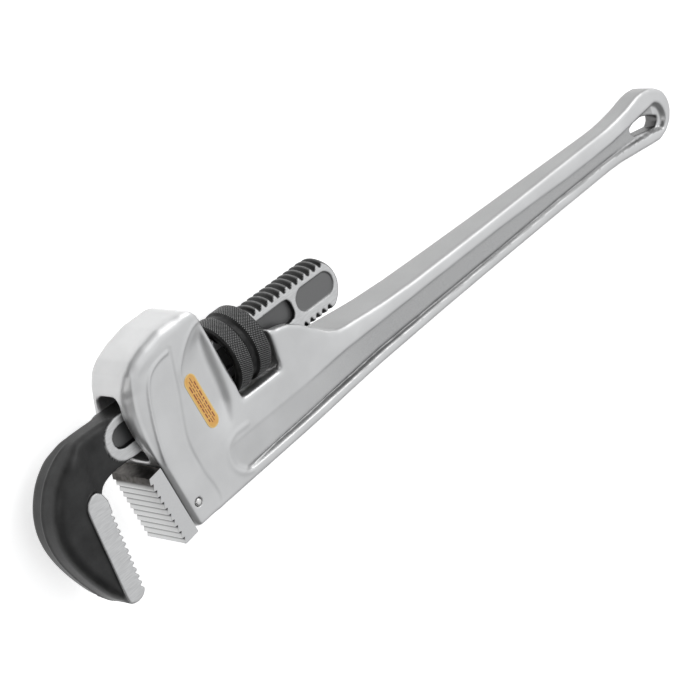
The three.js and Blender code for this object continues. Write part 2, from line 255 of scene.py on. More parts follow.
def make_object(name, verts, faces, material, masks=None, smooth=True):
    """A mesh piece from drafting-mm vertices; masks are per-vertex values for its material."""
    me = bpy.data.meshes.new(name)
    v = world(verts)
    faces = np.asarray(faces)
    if faces.ndim == 2:
        nf, w = faces.shape
        me.vertices.add(len(v))
        me.vertices.foreach_set("co", v.ravel().astype(np.float32))
        me.loops.add(nf * w)
        me.loops.foreach_set("vertex_index", faces.ravel().astype(np.int32))
        me.polygons.add(nf)
        me.polygons.foreach_set("loop_start", (np.arange(nf) * w).astype(np.int32))
        me.polygons.foreach_set("loop_total", np.full(nf, w, np.int32))
        me.update(calc_edges=True)
        me.validate()
    else:
        me.from_pydata(v.tolist(), [], [list(map(int, f)) for f in faces])
        me.update()
    me.polygons.foreach_set("use_smooth", np.full(len(me.polygons), smooth))
    for key, val in (masks or {}).items():
        a = me.attributes.new(key, "FLOAT", "POINT")
        a.data.foreach_set("value", np.asarray(val, np.float32))
    me.materials.append(material)
    ob = bpy.data.objects.new(name, me)
    bpy.context.scene.collection.objects.link(ob)
    return ob


def put(ob, body, node):
    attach(ob, body)
    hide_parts(node)
    return ob


# -------------------------------------------------------------- materials
class Nodes:
    def __init__(self, name):
        self.mat = bpy.data.materials.new(name)
        self.mat.use_nodes = True
        self.t = self.mat.node_tree
        self.b = self.t.nodes["Principled BSDF"]
        self.coord = self.t.nodes.new("ShaderNodeTexCoord")

    def link(self, a, b):
        self.t.links.new(a, b)

    def noise(self, scale, detail=3.0, rough=0.5, stretch=(1, 1, 1)):
        m = self.t.nodes.new("ShaderNodeMapping")
        m.inputs["Scale"].default_value = stretch
        self.link(self.coord.outputs["Object"], m.inputs["Vector"])
        n = self.t.nodes.new("ShaderNodeTexNoise")
        n.inputs["Scale"].default_value = scale
        n.inputs["Detail"].default_value = detail
        n.inputs["Roughness"].default_value = rough
        self.link(m.outputs["Vector"], n.inputs["Vector"])
        return n.outputs["Fac"]

    def ramp(self, fac, stops):
        r = self.t.nodes.new("ShaderNodeValToRGB")
        el = r.color_ramp.elements
        el[0].position, el[0].color = stops[0][0], (*stops[0][1], 1)
        el[1].position, el[1].color = stops[-1][0], (*stops[-1][1], 1)
        for p, c in stops[1:-1]:
            e = el.new(p)
            e.color = (*c, 1)
        self.link(fac, r.inputs["Fac"])
        return r.outputs["Color"]

    def attr(self, name):
        a = self.t.nodes.new("ShaderNodeAttribute")
        a.attribute_name = name
        return a.outputs["Fac"]

    def mix(self, fac, a, b):
        m = self.t.nodes.new("ShaderNodeMix")
        m.data_type = "RGBA"
        self.link(fac, m.inputs["Factor"])
        for s, v in ((m.inputs["A"], a), (m.inputs["B"], b)):
            if isinstance(v, tuple):
                s.default_value = (*v, 1)
            else:
                self.link(v, s)
        return m.outputs["Result"]

    def mixv(self, fac, a, b):
        m = self.t.nodes.new("ShaderNodeMix")
        m.data_type = "FLOAT"
        self.link(fac, m.inputs["Factor"])
        for s, v in ((m.inputs["A"], a), (m.inputs["B"], b)):
            if isinstance(v, (int, float)):
                s.default_value = v
            else:
                self.link(v, s)
        return m.outputs["Result"]

    def rng(self, fac, lo, hi):
        m = self.t.nodes.new("ShaderNodeMapRange")
        m.inputs["To Min"].default_value = lo
        m.inputs["To Max"].default_value = hi
        self.link(fac, m.inputs["Value"])
        return m.outputs["Result"]

    def bump(self, height, strength, distance):
        b = self.t.nodes.new("ShaderNodeBump")
        b.inputs["Strength"].default_value = strength
        b.inputs["Distance"].default_value = distance
        self.link(height, b.inputs["Height"])
        self.link(b.outputs["Normal"], self.b.inputs["Normal"])

    def set(self, **kw):
        for k, v in kw.items():
            s = self.b.inputs[k.replace("_", " ")]
            if isinstance(v, (int, float)):
                s.default_value = v
            elif isinstance(v, tuple):
                s.default_value = (*v, 1)
            else:
                self.link(v, s)
        return self.mat


def g(v, warm=0.0):
    return (v * (1 + warm), v, v * (1 - warm))


def mat_aluminium():
    n = Nodes("cast_aluminium_satin")
    broad = n.noise(38, 3, 0.5)
    grain = n.noise(1500, 2, 0.6)
    cast = n.attr("cast")
    belt = n.ramp(broad, [(0.35, g(0.66)), (0.65, g(0.72))])
    rough = n.ramp(grain, [(0.3, g(0.48)), (0.7, g(0.58))])
    # Painted shade: this darker tone goes on the beam's upward-facing (+y) faces and on the nose, for the way light
    # falls on them.
    shade_by_facing = n.ramp(broad, [(0.3, g(0.33)), (0.7, g(0.36))])
    col = n.mix(n.attr("shade_by_facing"), n.mix(cast, belt, rough), shade_by_facing)
    # Painted shade: the hang-hole walls and the groove under the raised strip are darkened where shade falls in them.
    col = n.mix(n.attr("deep"), col, g(0.15))
    n.bump(grain, 0.10, 0.0002)
    return n.set(Base_Color=col, Metallic=0.92, Roughness=n.mixv(cast, n.rng(grain, 0.34, 0.44), 0.52))


def mat_forging():
    n = Nodes("black_forging_ground")
    broad = n.noise(60, 4, 0.6)
    fine = n.noise(900, 3, 0.6)
    brush = n.noise(700, 2, 0.5, (0.25, 2.2, 1))
    ground = n.attr("ground")
    black = n.ramp(broad, [(0.3, g(0.022)), (0.7, g(0.046))])
    # Thread crests painted lighter as a highlight and as rubbed black finish; the ball end and pocket floor lighter as
    # well.
    wear_and_highlight = n.mix(n.attr("wear_and_highlight"), black, g(0.30))
    bright = n.ramp(brush, [(0.3, g(0.62)), (0.7, g(0.74))])
    grey = n.mix(n.attr("grey"), bright, g(0.20))
    col = n.mix(ground, wear_and_highlight, grey)
    n.bump(fine, 0.22, 0.00025)
    return n.set(Base_Color=col, Metallic=n.mixv(ground, 0.55, 0.92),
                 Roughness=n.mixv(ground, n.rng(fine, 0.36, 0.5), 0.42))


def mat_jaw():
    n = Nodes("jaw_steel_machined")
    brush = n.noise(1500, 2, 0.5)
    dark = n.attr("dark")
    bright = n.ramp(brush, [(0.3, g(0.66)), (0.7, g(0.71))])
    # Painted shade: a dark line at each tooth root, where the crest above shades it.
    bright = n.mix(n.ramp(n.attr("tooth_root_shade"), [(0.42, g(0.0)), (0.78, g(1.0))]), bright, g(0.035))
    stain = n.ramp(n.noise(260, 3, 0.6), [(0.35, g(0.05, 0.08)), (0.7, g(0.13, 0.06))])
    col = n.mix(dark, bright, stain)
    n.bump(n.noise(1300, 2, 0.5), 0.06, 0.0002)
    return n.set(Base_Color=col, Metallic=0.9, Roughness=n.rng(brush, 0.36, 0.46))


def mat_nut():
    n = Nodes("black_nut_knurled")
    # Painted highlight: knurl peaks are lighter, also standing for rubbed black finish.
    peak = n.attr("peak")
    base = n.ramp(n.noise(400, 3, 0.6), [(0.35, g(0.016)), (0.7, g(0.034))])
    col = n.mix(n.ramp(peak, [(0.45, g(0.0)), (0.95, g(1.0))]), base, g(0.40))
    n.bump(n.noise(1800, 2, 0.5), 0.12, 0.00015)
    return n.set(Base_Color=col, Metallic=0.75, Roughness=n.rng(n.noise(700, 2, 0.5), 0.36, 0.48))


def mat_pin():
    n = Nodes("pin_steel_bright")
    f = n.noise(800, 2, 0.5)
    col = n.ramp(f, [(0.3, g(0.72, 0.01)), (0.7, g(0.82, 0.01))])
    return n.set(Base_Color=col, Metallic=1.0, Roughness=n.rng(f, 0.16, 0.24))


def mat_spring():
    n = Nodes("spring_steel")
    f = n.noise(500, 3, 0.6)
    col = n.ramp(f, [(0.3, g(0.22)), (0.7, g(0.32))])
    return n.set(Base_Color=col, Metallic=0.9, Roughness=n.rng(f, 0.3, 0.42))


def mat_label():
    n = Nodes("label_film_orange")
    f = n.noise(220, 3, 0.6)
    film = n.ramp(f, [(0.3, (0.86, 0.44, 0.10)), (0.7, (0.93, 0.55, 0.16))])
    edge = n.mix(n.attr("edge"), film, (0.95, 0.66, 0.24))
    col = n.mix(n.attr("ink"), edge, (0.30, 0.07, 0.03))
    return n.set(Base_Color=col, Metallic=0.0, Roughness=n.rng(f, 0.4, 0.5))


# ----------------------------------------------------------------- handle
OUTLINE = [
    (17.6, -23.5), (60, -21.0), (110.2, -18.1), (172, -14.9), (230, -13.4), (288, -12.5), (345, -11.9), (400.2, -11.7),
    (411, -12.1), (421, -13.2), (431, -14.2), (441, -15.3), (449.5, -15.9),
    (457, -13.4), (463.0, -8.6), (466.0, -2.4), (466.6, 2.0), (466.0, 6.2), (463.6, 11.2),
    (458.5, 15.2), (452.0, 17.8), (446.0, 18.5), (440, 18.0), (428, 15.4), (417, 13.9), (408, 13.1), (400.2, 13.0),
    (345, 13.2), (288, 13.3), (250, 13.5), (215, 13.9), (190, 15.0), (175, 16.3), (165, 17.3), (157.5, 17.9),
    (151, 19.0), (144.6, 21.8), (136.4, 28.6), (128, 35.8), (119.6, 40.6), (113, 42.4), (109.8, 42.8), (107.5, 44.2),
    (101.0, 47.0), (101, 60), (70, 60),
    (70.5, 68), (70.0, 72.0), (68.0, 76.5), (63.0, 80.8), (57.0, 82.8), (49.0, 83.4), (40.0, 83.2),
    (27.0, 80.2), (18.0, 76.6), (11.5, 71.5), (7.2, 65.0), (5.0, 59.0),
    (4.0, 50.0), (5.5, 38.0), (9.6, 22.0), (10.6, 18.8)]
HANG = [
    (427.3, -0.6), (429.6, -4.0), (440.0, -6.0), (451.2, -7.8), (454.4, -5.0), (455.0, -2.0),
    (447.4, 2.0), (440.2, 4.2), (433.0, 3.8), (427.4, 2.4)]
WINDOW = [
    (74.2, 22.0), (103.6, 22.0), (104.6, 34.0), (104.6, 41.0), (101.0, 47.2), (101, 90),
    (64.0, 90), (66.6, 74.0), (73.7, 30.0)]
SLOT = [(-2, 19.6), (75, 23.4), (75, 58.4), (20, 58.6), (9, 60.4), (-2, 63.0)]

RIDGE1 = smooth_line([(24, 83), (18.6, 77), (14.2, 70.8), (11.2, 61), (9.2, 52), (8.4, 42), (8.8, 33), (9.4, 26), (10.4, 18.8)])
RIDGE2 = smooth_line([(40, 69.6), (34, 69.0), (28, 67.0), (23.6, 63.6), (20, 57.4), (17.2, 47.5), (15.0, 36), (13.8, 25), (13.6, 18.6)])
LINE3 = smooth_line([(42.0, 70.6), (39.6, 60), (37.2, 48), (33.8, 35), (31.4, 24), (31.4, 14), (33.4, 2), (36.2, -8), (37.2, -15.0), (35.4, -20.4), (31.5, -23.2)])
DISH_L = smooth_line([(66.2, 74.0), (60.0, 73.0), (53.5, 68.9), (47.6, 63.3), (42.8, 57.0), (41.2, 50.5), (41.3, 44), (42.6, 36), (45, 26), (47.6, 16), (50.5, 8.4)])

rs = Raster(-4, 471, -29, 91, 0.4)
X, Y = rs.X, rs.Y
OUT = rs.blur(poly_sdf(X, Y, OUTLINE), 0.9)
WIN = rs.blur(poly_sdf(X, Y, WINDOW), 1.3)
HNG = rs.blur(poly_sdf(X, Y, HANG), 0.6)
SLT = rs.blur(poly_sdf(X, Y, SLOT), 0.5)

h0 = HEAD_T + (END_T - HEAD_T) * np.clip((X - 110) / 290, 0, 1)
h0 = rs.blur(h0, 6.0)


def by_y(line):
    o = np.argsort(line[:, 1])
    return np.interp(Y, line[o, 1], line[o, 0])


def tab(xs_, ys_):
    return np.interp(X, xs_, ys_)


# Front of the housing: bevel to the mouth, two beads, and the edge of the raised side panel.
front = [(10.6, 18.8), (17.6, -23.5)]
r1 = np.where(Y > 18.8, by_y(RIDGE1), np.interp(Y, [-23.5, 18.8], [17.6, 10.5]))
r2 = np.where(Y > 18.6, by_y(RIDGE2[20:]), np.interp(Y, [-23.5, 18.6], [20.2, 13.5]))
tb = np.clip((r2 - X) / np.maximum(r2 - r1, 0.5), 0, 2.2)
bevel = (np.interp(Y, [10, 26, 60, 70], [1.8, 1.2, 1.1, 0.0])) * tb
panel = 0.36 * (1 - sstep(-0.4, 0.4, X - by_y(LINE3))) * sstep(74, 68, Y)
groove3 = 0.34 * np.exp(-(line_dist(X, Y, LINE3) / 0.55) ** 2) * sstep(0, 10, Y)
bead2 = 0.75 * np.exp(-(line_dist(X, Y, RIDGE2) / 0.7) ** 2) * sstep(14, 24, Y)
bead1 = 0.38 * np.exp(-(line_dist(X, Y, RIDGE1) / 0.8) ** 2) * sstep(14, 24, Y) * sstep(80, 70, Y)
xl = by_y(DISH_L[:-1])
xr = np.interp(Y, [6, 10.6, 14.9, 24.8, 35, 42, 52, 62, 70, 74], [52, 57.5, 63.5, 67.2, 68.2, 68.2, 67.6, 67.0, 66.6, 66.2])
u = (X - xl) / np.maximum(xr - xl, 0.5)
dish = np.where((u > 0) & (u < 1), np.clip(u / 0.74, 0, 1) ** 1.25 * (1 - sstep(0.76, 1.0, u)), 0)
dish = dish * 2.9 * sstep(7.5, 30, Y) * sstep(74.5, 62, Y)
beadL = 0.40 * np.exp(-(line_dist(X, Y, DISH_L[:-22]) / 0.9) ** 2) * sstep(40, 56, Y)
drop_head = rs.blur(bevel + panel + groove3 - bead1 - bead2, 0.38) + rs.blur(dish, 1.1) - beadL

# The side recess: a raised flat strip, a deep narrow groove under it, and the flanges.
st = [52, 60, 75, 90, 123, 140, 176, 230, 288, 347, 383, 405, 418, 432, 445, 452]
y_lip = tab(st, [-15.4, -15.3, -14.6, -13.8, -12.0, -11.0, -9.0, -7.8, -7.0, -5.8, -5.4, -5.5, -6.2, -7.2, -7.9, -9.2])
y_p = tab(st, [-13.6, -13.3, -12.0, -10.9, -8.9, -7.9, -5.8, -5.1, -4.5, -3.5, -3.3, -3.6, -4.6, -6.0, -7.1, -8.6])
y_up = tab([52, 125, 150, 230, 288, 330, 350, 385, 405, 418, 432, 445, 452], [3.5, 5.5, 6.6, 6.3, 6.0, 4.8, 3.9, 3.3, 3.4, 4.2, 5.4, 6.5, 7.3])
y_top = tab([52, 130, 140, 151, 165, 190, 215, 250, 345, 400, 417, 428, 440, 452], [30, 30, 25, 19, 17.3, 15, 13.9, 13.5, 13.2, 13, 13.9, 15.4, 18, 18])
d_g = tab(st, [0.6, 1.8, 3.4, 3.9, 4.1, 3.9, 3.4, 2.9, 2.6, 2.4, 2.3, 2.0, 2.6, 3.3, 3.4, 3.4])
d_p = tab(st, [1.4, 1.4, 1.4, 1.3, 1.2, 1.1, 0.9, 0.85, 0.8, 0.8, 0.8, 1.1, 2.2, 3.3, 3.4, 3.4])
d_q = tab([52, 115, 150, 383, 405, 452], [0.15, 0.2, 0.8, 0.75, 1.1, 3.4])
d_q = np.where(X > 383, d_p, d_q)
d_u = tab([52, 120, 150, 452], [0.0, 0.0, 0.12, 0.12])


def cross(points):
    """Piecewise profile across the beam from (y, drop) fields in rising y."""
    out = np.zeros_like(X)
    for (ya, da), (yb, db) in zip(points[:-1], points[1:]):
        t = (Y - ya) / np.maximum(yb - ya, 1e-3)
        out = np.where((Y >= ya) & (Y < yb), da + (db - da) * t, out)
    return out


zero = np.zeros_like(X)
w_up = tab([52, 90, 200, 300, 452], [0.9, 1.5, 1.5, 0.9, 0.8])
rec = cross([(y_lip - 2.2, zero), (y_lip - 0.2, zero + 0.22), (y_lip + 0.25, zero + 0.6), (y_lip + 0.9, d_g),
             (y_p - w_up, d_g), (y_p, d_p + 0.35), (y_p + 0.5, d_p), (y_up - 0.1, d_q), (y_up + 0.2, d_u)])
t_fl = np.clip((Y - y_up) / np.maximum(y_top - y_up, 1), 0, 1.3)
rec = np.where(Y >= y_up + 0.2, (d_u + 1.25 * t_fl ** 2) * sstep(122, 160, X), rec)
left = np.interp(Y, [-15.6, -13.1, -7.7, -1.9, 4.2, 8.3, 9], [62, 56.6, 52.2, 51.6, 53.6, 60.4, 66])
right = np.interp(Y, [-12, -10, -5.5, -1, 3.8, 7.3, 9.5], [450.0, 454.9, 458.8, 459.1, 457.8, 454.4, 448.0])
left, right = rs.blur(left, 1.4), rs.blur(right, 1.4)
flange = Y >= y_up + 0.2
rec = rec * sstep(0, 4.6, X - left) * np.where(flange, sstep(0, 14, 462 - X), sstep(0, 1.3, right - X))
LEFT_RIM = [(70, 8.4), (60.4, 8.2), (53.4, 4.2), (51.3, -1.9), (52.0, -7.7), (56.2, -13.3), (62, -15.6)]
rim = 0.35 * np.exp(-(line_dist(X, Y, smooth_line(LEFT_RIM)) / 1.3) ** 2)
blend = sstep(424, 440, X)
drop_beam = rs.blur(rec, 0.42) * (1 - blend) + rs.blur(rec, 0.8) * blend - rs.blur(rim, 0.5)
# Band of the groove under the raised strip, used only for the painted shade in it.
GROOVE = rs.blur(((Y > y_lip + 0.8) & (Y < y_p + 0.2) & (X > 56) & (X < 424)).astype(float), 0.45) * sstep(54, 66, X) * sstep(428, 410, X)
TH = h0 - drop_head - drop_beam
RAD = 2.0 + 5.0 * sstep(40, 62, Y) * sstep(68, 48, X) + 0.5 * sstep(120, 150, X) - 1.5 * sstep(30, 22, X) * sstep(34, 20, Y) * sstep(-24.0, -16.5, Y)
CAST = sstep(0.55, 0.95, rs.blur(((Y > y_p) & (Y < y_up) & (X > 60) & (X < 452)).astype(float), 0.5)) * sstep(80, 190, X)


def handle_field(x, y, z):
    az = np.abs(z)
    out, th, rad = rs.read(OUT, x, y), rs.read(TH, x, y), rs.read(RAD, x, y)
    d = rmax(out, az - th, rad)
    trough = np.maximum(np.hypot(y - AXIS_Y, z) - 22.4, np.maximum(73.2 - x, x - 104.6))
    d = smax(d, -rs.read(WIN, x, y), 3.4)
    d = smax(d, -trough, 0.8)
    d = smax(d, -rmax(rs.read(SLT, x, y), az - 8.9, 4.6), 2.0)
    d = smax(d, -rmax(np.maximum(np.maximum(25.2 - y, 100 - x), x - 240), az - 8.9, 3.0), 2.2)
    d = smax(d, -rs.read(HNG, x, y), 1.0)
    pocket = np.maximum(np.maximum(np.maximum(5 - x, x - 29.3), np.maximum(-30 - y, y - 12.3)), az - 6.3)
    d = smax(d, -pocket, 0.6)
    d = smax(d, -(np.hypot(x - 23.2, y + 10.9) - 2.45), 0.35)
    d = smax(d, -np.maximum(np.hypot(x - 38, z) - 7.0, np.maximum(5.0 - y, y - 40)), 0.5)
    return d


def build_handle():
    xs_ = axis((2.6, 46, 0.76), (46, 112, 0.92), (112, 150, 1.25), (150, 400, 1.9), (400, 420, 1.2), (420, 468.2, 0.72))
    ys_ = axis((-25, 27, 0.77), (27, 84.6, 0.84))
    zs_ = axis((-18.2, 18.2, 0.86))
    P, Q = surface_net(handle_field, xs_, ys_, zs_)
    th = rs.read(TH, P[:, 0], P[:, 1])
    face = sstep(1.6, 0.4, th - np.abs(P[:, 2]))
    e = 0.05
    ny = handle_field(P[:, 0], P[:, 1] + e, P[:, 2]) - handle_field(P[:, 0], P[:, 1] - e, P[:, 2])
    # Painted shade mask: the beam's upward-facing (+y) faces, darkened for the way light falls on them.
    up = sstep(0.8, 0.98, ny / (2 * e)) * sstep(120, 150, P[:, 0])
    cast = np.clip(rs.read(CAST, P[:, 0], P[:, 1]) * face, 0, 1)
    # Painted shade masks: hang-hole walls and the groove under the raised strip (attribute deep).
    hole = sstep(1.3, 0.7, np.abs(rs.read(HNG, P[:, 0], P[:, 1]))) * sstep(0.4, 1.0, th - np.abs(P[:, 2]))
    groove = rs.read(GROOVE, P[:, 0], P[:, 1]) * face
    nx = handle_field(P[:, 0] + e, P[:, 1], P[:, 2]) - handle_field(P[:, 0] - e, P[:, 1], P[:, 2])
    # The nose's faces turned to -x and +y get part of the same painted shade.
    nose = sstep(0.4, 0.9, -nx / (2 * e)) * (P[:, 0] < 30) * (P[:, 1] > 20) + sstep(0.4, 0.9, ny / (2 * e)) * (P[:, 0] < 60) * (P[:, 1] > 60)
    up = np.clip(up + 0.30 * nose, 0, 1)
    deep = np.clip(np.maximum(hole, 0.62 * groove), 0, 1)
    ob = make_object("handle_casting", P, Q, mat_aluminium(), {"cast": cast, "shade_by_facing": up, "deep": deep})
    return put(ob, "frame", "handle")


# --------------------------------------------------------------- hook jaw
HOOK = [tuple(p) for p in smooth_line([
    (44, 52.6), (6, 53.2), (-9.5, 53.9), (-22.3, 53.9), (-30.0, 52.6), (-39.1, 48.6), (-48.3, 41.2), (-55.3, 30.7),
    (-58.5, 20.5), (-58.9, 11.0), (-57.1, 1.0), (-53.0, -10.3), (-47.6, -21.2), (-43.5, -28.0),
    (-39.4, -32.9), (-35.6, -35.8), (-31.5, -36.6), (-27.6, -35.4), (-25.4, -33.0)], 6)] + [tuple(p) for p in smooth_line([
    (-25.4, 13.6), (-25.2, 17.6), (-24.0, 21.6), (-20.6, 25.2), (-15.5, 27.3), (-9.0, 28.2), (6, 28.4), (44, 29.4)], 6)]
STRIP = [(-38.9, 18.0), (-38.6, 22.4), (-36.6, 26.0), (-33.4, 28.0), (-29.8, 28.0), (-27.0, 25.6), (-25.2, 20.5),
         (-25.0, 14), (-25.0, -38), (-36.6, -38), (-37.6, -30)]
PAD = [(-0.5, 52.9), (-5.5, 51.3), (-9.2, 47.6), (-10.9, 42.2), (-10.2, 36.8), (-7.2, 32.2), (-2.6, 29.4), (3, 28.6),
       (46, 28.2), (48, 26.5), (158, 26.5), (170, 30), (170, 54), (158, 57.6), (46, 57.6), (3, 53.6)]
POCKET = [(1, 48.4), (-2.6, 47.4), (-5.2, 44.4), (-5.6, 40.6), (-4.0, 37.4), (-0.6, 35.8), (128.0, 36.6), (131.6, 37.4),
          (133.0, 40.4), (132.4, 46.4), (130.6, 49.0), (127.6, 49.6)]
PANEL = [(141.5, 43 - 6.9), (159.5, 43 - 6.9), (159.5, 43 + 6.9), (141.5, 43 + 6.9)]
rh = Raster(-62, 176, -40, 62, 0.3)
XH, YH = rh.X, rh.Y
HK = rh.blur(poly_sdf(XH, YH, HOOK), 0.6)
SP = rh.blur(poly_sdf(XH, YH, STRIP), 0.6)
PD = rh.blur(poly_sdf(XH, YH, PAD), 0.8)
PK = rh.blur(poly_sdf(XH, YH, POCKET), 0.7)
px_ = np.clip(XH, 143.0, 158.2)
OB = np.hypot(XH - px_, YH - 43.0) - 7.0
TEETH = np.full(XH.shape, 1e3)
for i in range(12):
    yt = 13.6 - 3.9 * i
    TEETH = np.minimum(TEETH, poly_sdf(XH, YH, [(-25.0, yt - 3.4), (-24.0, yt - 3.4), (-24.0, yt + 0.1), (-25.0, yt + 0.1), (-27.3, yt - 0.4)]))
THK = 7.7 + (12.6 - 7.7) * sstep(-19.5, -37.0, XH + 0.25 * np.maximum(YH - 45, 0))
THK = rh.blur(THK, 1.2)
RHK = 1.0 + 5.6 * sstep(-33, -44, XH) + 3.2 * sstep(30, 40, YH) * sstep(-33, -24, XH) * sstep(6, -8, XH) + 4.5 * sstep(36, 44, YH) * sstep(-24, -33, XH) * sstep(-44, -33, XH)
RHK = np.minimum(RHK, 5.6)
BALL_X, BALL_R = 152.7, 17.5


def hook_parts(x, y, z):
    az = np.abs(z)
    yy = y - AXIS_Y
    r = np.hypot(yy, z)
    hk = rh.read(HK, x, y)
    side = sstep(-24, -34, x)
    flash = side * (0.10 * az - 0.35 * np.exp(-(z / 0.75) ** 2))
    body = rmax(hk + flash, az - rh.read(THK, x, y), rh.read(RHK, x, y))
    strip = smax(smax(rh.read(SP, x, y), hk + 0.05, 0.4), az - 14.0, 0.5)
    hook = smin(body, strip, 0.9)
    pad = smax(smax(rh.read(PD, x, y), az - 8.3, 0.35), np.maximum(hk + 0.25, x - 46), 0.4)
    hook = smin(hook, pad, 0.25)
    phase = (x - CREST_X) / PITCH - np.arctan2(z, yy) / (2 * np.pi)
    w = np.clip(1.2 * np.cos(2 * np.pi * phase) - 0.05, -1, 1)
    turn = np.mod(np.arctan2(z, yy), 2 * np.pi) / (2 * np.pi)
    w = np.where(np.where(yy > 0, phase > 12, (x - CREST_X) / PITCH - turn > 11), 1.0, w)
    on = sstep(44.5, 48, x)
    rad = np.where(x > 44, 12.9 + on * ((R_MAJ + R_MIN) / 2 - 12.9 + w * (R_MAJ - R_MIN) / 2), 12.9)
    thread = smax((r - rad) * 0.82, az - 8.1, 0.35)
    ball = np.where(x > BALL_X, np.sqrt((x - BALL_X) ** 2 + r * r) - BALL_R, r - BALL_R)
    thread = np.maximum(smax(thread, ball, 0.9), 43.0 - x)
    d = np.minimum(hook, thread)
    pocket = smax(rh.read(PK, x, y), 5.2 - az, 0.3)
    d = smax(d, -pocket, 0.35)
    oval = smax(rh.read(OB, x, y), 7.25 - az, 0.2)
    d = smax(d, -oval, 0.25)
    d = smax(d, -rh.read(TEETH, x, y), 0.15)
    return d, r, w


def hook_field(x, y, z):
    return hook_parts(x, y, z)[0]


def build_hook():
    xs_ = axis((-60, -20, 0.66), (-20, 44, 1.0), (44, 171.4, 0.6))
    ys_ = axis((-38, 60, 0.62))
    zs_ = axis((-14.8, -8.8, 0.7), (-8.8, 8.8, 0.62), (8.8, 14.8, 0.7))
    P, Q = surface_net(hook_field, xs_, ys_, zs_)
    x, y, az = P[:, 0], P[:, 1], np.abs(P[:, 2])
    _, r, w = hook_parts(x, y, P[:, 2])
    pk, ob_ = rh.read(PK, x, y), rh.read(OB, x, y)
    in_pad = sstep(0.25, -0.35, rh.read(PD, x, y))
    flat = sstep(7.75, 8.0, az) * (x > -12)
    ground_pad = in_pad * flat * (az < 9) * sstep(-0.1, 0.2, pk)
    ground_oval = (ob_ < 0.2) & (az > 7.0) & (az < 9)
    sp = rh.read(SP, x, y)
    ground_strip = sstep(0.2, -0.3, sp) * sstep(13.2, 13.6, az)
    face = (np.abs(x + 25.4) < 2.4) & (y < 14.2) & (y > -34.5)
    ground = np.clip(ground_pad + ground_oval + ground_strip + 0.85 * face, 0, 1)
    ends = sstep(-1.2, -0.2, np.sqrt((x - BALL_X) ** 2 + r * r) - BALL_R) * (x > 156) * (ground < 0.5)
    floor = sstep(6.4, 5.7, az) * sstep(-0.3, -1.0, pk) * (x > -8)
    # Painted highlight on the thread crests, also standing for rubbed black finish.
    crest = sstep(0.55, 1.0, w) * sstep(R_MAJ - 0.6, R_MAJ - 0.15, r) * (x > 46) * (x < 158)
    wear_and_highlight = np.clip(0.50 * crest + 0.24 * ends + 0.42 * floor, 0, 1)
    grey = ground_oval * sstep(0.35, -0.1, ob_)
    obj = make_object("hook_jaw_forging", P, Q, mat_forging(), {"ground": ground, "wear_and_highlight": wear_and_highlight, "grey": grey})
    return put(obj, "jaw", "hook_jaw")


# --------------------------------------------------------------- heel jaw
def build_heel():
    tilt = 0.15
    c, s = math.cos(tilt), math.sin(tilt)
    prof = [(13.0, 0.0), (1.2, 0.0), (0.2, -2.6)]
    for i in range(10):
        y = -3.4 - 4.01 * i
        prof += [(0.0, y), (1.9, y - 0.5), (0.0, y - 3.51)]
    prof = [p for p in prof if p[1] > -43.5]
    prof += [(0.4, -43.6), (2.2, -43.8), (13.0, -43.8)]
    pts = [(c * x - s * y, 16.6 + s * x + c * y) for x, y in prof]
    (ax, ay), (bx, by) = (9.85, 19.6), (17.35, -27.2)

    def side(p):
        return (bx - ax) * (p[1] - ay) - (by - ay) * (p[0] - ax)
    keep = []
    for p, q in zip(pts, pts[1:] + pts[:1]):
        sp_, sq = side(p), side(q)
        if sp_ <= 0:
            keep.append(p)
        if (sp_ <= 0) != (sq <= 0):
            t = sp_ / (sp_ - sq)
            keep.append((p[0] + t * (q[0] - p[0]), p[1] + t * (q[1] - p[1])))
    import bmesh
    bm = bmesh.new()
    top = [bm.verts.new((x, y, 15.5)) for x, y in keep]
    bot = [bm.verts.new((x, y, -15.5)) for x, y in keep]
    n = len(keep)
    bm.faces.new(top)
    bm.faces.new(bot[::-1])
    for i in range(n):
        j = (i + 1) % n
        bm.faces.new((top[i], bot[i], bot[j], top[j]))
    bmesh.ops.recalc_face_normals(bm, faces=bm.faces)
    bmesh.ops.bevel(bm, geom=list(bm.edges), offset=0.16, segments=2, profile=0.6, affect="EDGES", clamp_overlap=True)
    tv = []
    for z in (-6.0, 6.0):
        for x, y in ((7.5, -21.5), (29.0, -21.5), (29.0, 12.0), (7.5, 12.0)):
            tv.append(bm.verts.new((x, y, z)))
    for f in ((3, 2, 1, 0), (4, 5, 6, 7), (0, 1, 5, 4), (1, 2, 6, 5), (2, 3, 7, 6), (3, 0, 4, 7)):
        bm.faces.new([tv[i] for i in f])
    bmesh.ops.triangulate(bm, faces=[f for f in bm.faces if len(f.verts) > 4])
    me = bpy.data.meshes.new("heel_jaw_block")
    co = np.array([v.co[:] for v in bm.verts])
    local_y = (co[:, 1] - 16.6) * c - co[:, 0] * s
    local_x = co[:, 0] * c + (co[:, 1] - 16.6) * s
    dark = ((local_y > -4.2) & (np.abs(co[:, 2]) < 15.45)).astype(np.float32)
    # Mask of the painted shade at the tooth roots.
    tooth_root_shade = ((local_x > 1.2) & (local_x < 2.6) & (local_y < -3.6) & (local_y > -43.4) & (np.abs(co[:, 2]) < 15.45)).astype(np.float32)
    side_face = (np.abs(co[:, 2]) > 15.45).astype(np.float32)
    for v, w in zip(bm.verts, world(co)):
        v.co = Vector(w.tolist())
    bm.to_mesh(me)
    bm.free()
    for key, val in (("dark", dark), ("tooth_root_shade", tooth_root_shade), ("side", side_face)):
        a = me.attributes.new(key, "FLOAT", "POINT")
        a.data.foreach_set("value", val)
    me.materials.append(mat_jaw())
    ob = bpy.data.objects.new("heel_jaw_block", me)
    bpy.context.scene.collection.objects.link(ob)
    return put(ob, "frame", "heel_jaw")


